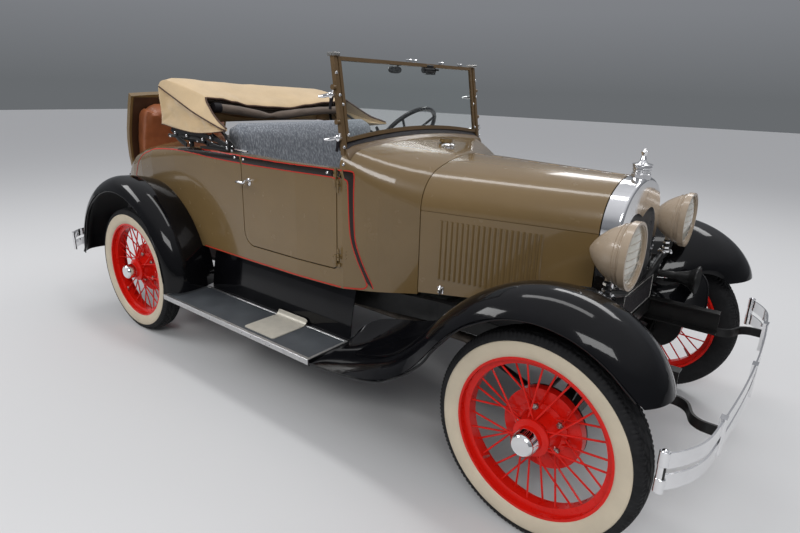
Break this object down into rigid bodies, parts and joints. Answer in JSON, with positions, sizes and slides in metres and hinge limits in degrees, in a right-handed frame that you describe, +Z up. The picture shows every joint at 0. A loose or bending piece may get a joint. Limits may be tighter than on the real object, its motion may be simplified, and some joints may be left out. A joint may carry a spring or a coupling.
{
  "type": "roadster car",
  "caption": "Open vintage roadster car with folded soft top, open rear seat lid, side bonnet louvres, sweeping wings and wire wheels.",
  "frame": {"origin": "on the ground, under the middle of the car's overall box", "axes": "+X forward, +Y to the car's left, +Z up"},
  "size_m": [4.059, 1.6804, 1.6113],
  "materials": {
    "khaki": "gloss",
    "black_gloss": "gloss",
    "black_frame": "satin",
    "red": "gloss",
    "tyre": "matte",
    "bright": "polished",
    "beige": "gloss",
    "glass": "clear",
    "brown_frame": "gloss",
    "core": "satin",
    "pipe": "matte",
    "canvas": "woven",
    "leather": "satin",
    "board": "matte",
    "rim": "gloss"
  },
  "bodies": {
    "chassis": {"board_brackets": "black_frame", "body": "khaki", "controls": "black_frame", "cowl": "khaki", "engine": "core", "exhaust": "pipe", "floor": "board", "folded_top": "canvas", "frame": "black_frame", "front_axle": "black_frame", "front_bumper": "bright", "front_member": "black_frame", "front_wings": "black_gloss", "headlamp_lenses": "glass", "headlamps": "beige", "hood_rod": "bright", "lamp_bar": "black_frame", "radiator": "core", "radiator_shell": "bright", "rear_axle": "black_frame", "rear_bumpers": "bright", "rear_wings": "black_gloss", "rumble_cushion": "leather", "running_boards": "black_gloss", "seat": "leather", "spare_tyre": "tyre", "spare_wheel": "red", "springs": "black_frame", "top_irons": "black_frame", "windscreen_frame": "brown_frame", "windscreen_glass": "glass"},
    "door_right": {"door_right": "khaki"},
    "door_left": {"door_left": "khaki"},
    "rumble_lid": {"rumble_lid": "khaki", "rumble_back": "leather"},
    "bonnet_top_right": {"hood_top_right": "khaki"},
    "bonnet_top_left": {"hood_top_left": "khaki"},
    "bonnet_side_right": {"hood_side_right": "khaki"},
    "bonnet_side_left": {"hood_side_left": "khaki"},
    "knuckle_right": {"knuckle_right": "black_frame"},
    "knuckle_left": {"knuckle_left": "black_frame"},
    "tie_rod": {"tie_rod": "black_frame"},
    "front_wheel_right": {"front_wheel_right": "red", "front_tyre_right": "tyre"},
    "front_wheel_left": {"front_wheel_left": "red", "front_tyre_left": "tyre"},
    "rear_wheel_right": {"rear_wheel_right": "red", "rear_tyre_right": "tyre"},
    "rear_wheel_left": {"rear_wheel_left": "red", "rear_tyre_left": "tyre"},
    "steering_wheel": {"steering_wheel": "rim"}
  },
  "joints": [
    {"name": "steer_right", "type": "hinge", "parent": "chassis", "child": "knuckle_right", "pos_m": [1.5045, -0.6, 0.378], "axis": [0, 0, 1], "range_deg": [-27, 33]},
    {"name": "steer_left", "type": "hinge", "parent": "chassis", "child": "knuckle_left", "pos_m": [1.5045, 0.6, 0.378], "axis": [0, 0, 1], "range_deg": [-27, 33]},
    {"name": "tie_rod", "type": "hinge", "parent": "knuckle_right", "child": "tie_rod", "pos_m": [1.35471, -0.59215, 0.304], "axis": [0, 0, 1], "range_deg": [-33, 27]},
    {"name": "steering_wheel", "type": "hinge", "parent": "chassis", "child": "steering_wheel", "pos_m": [0.0925, 0.32, 1.211], "axis": [-0.766, 0, 0.6428], "range_deg": [-297, 363]},
    {"name": "spin_front_right", "type": "hinge", "parent": "knuckle_right", "child": "front_wheel_right", "pos_m": [1.49869, -0.71085, 0.378], "axis": [0.0523, 0.9986, 0], "continuous": true},
    {"name": "spin_front_left", "type": "hinge", "parent": "knuckle_left", "child": "front_wheel_left", "pos_m": [1.51031, 0.71085, 0.378], "axis": [0.0523, 0.9986, 0], "continuous": true},
    {"name": "spin_rear_right", "type": "hinge", "parent": "chassis", "child": "rear_wheel_right", "pos_m": [-1.1245, -0.711, 0.378], "axis": [0, 1, 0], "continuous": true},
    {"name": "spin_rear_left", "type": "hinge", "parent": "chassis", "child": "rear_wheel_left", "pos_m": [-1.1245, 0.711, 0.378], "axis": [0, 1, 0], "continuous": true},
    {"name": "door_right", "type": "hinge", "parent": "chassis", "child": "door_right", "pos_m": [0.4225, -0.5773, 0.911], "axis": [0, 0, 1], "range_deg": [0, 65]},
    {"name": "door_left", "type": "hinge", "parent": "chassis", "child": "door_left", "pos_m": [0.4225, 0.5773, 0.911], "axis": [0, 0, -1], "range_deg": [0, 65]},
    {"name": "bonnet_right", "type": "hinge", "parent": "chassis", "child": "bonnet_top_right", "pos_m": [1.1085, 0, 1.181], "axis": [-0.9995, 0, 0.0302], "range_deg": [0, 60]},
    {"name": "bonnet_left", "type": "hinge", "parent": "chassis", "child": "bonnet_top_left", "pos_m": [1.1085, 0, 1.181], "axis": [0.9995, 0, -0.0302], "range_deg": [0, 60]},
    {"name": "bonnet_side_right", "type": "hinge", "parent": "bonnet_top_right", "child": "bonnet_side_right", "pos_m": [1.1085, -0.3185, 0.9835], "axis": [-0.9833, -0.1821, 0], "range_deg": [-30, 0]},
    {"name": "bonnet_side_left", "type": "hinge", "parent": "bonnet_top_left", "child": "bonnet_side_left", "pos_m": [1.1085, 0.3185, 0.9835], "axis": [0.9833, -0.1821, 0], "range_deg": [-30, 0]},
    {"name": "rumble_lid", "type": "hinge", "parent": "chassis", "child": "rumble_lid", "pos_m": [-1.7085, 0, 0.812], "axis": [0, -1, 0], "range_deg": [-58, 0]}
  ],
  "couplings": [
    {"joint": "steer_left", "follows": "steer_right", "ratio": 1},
    {"joint": "tie_rod", "follows": "steer_right", "ratio": -1},
    {"joint": "steering_wheel", "follows": "steer_right", "ratio": 11},
    {"joint": "bonnet_side_right", "follows": "bonnet_right", "ratio": -0.5},
    {"joint": "bonnet_side_left", "follows": "bonnet_left", "ratio": -0.5}
  ]
}
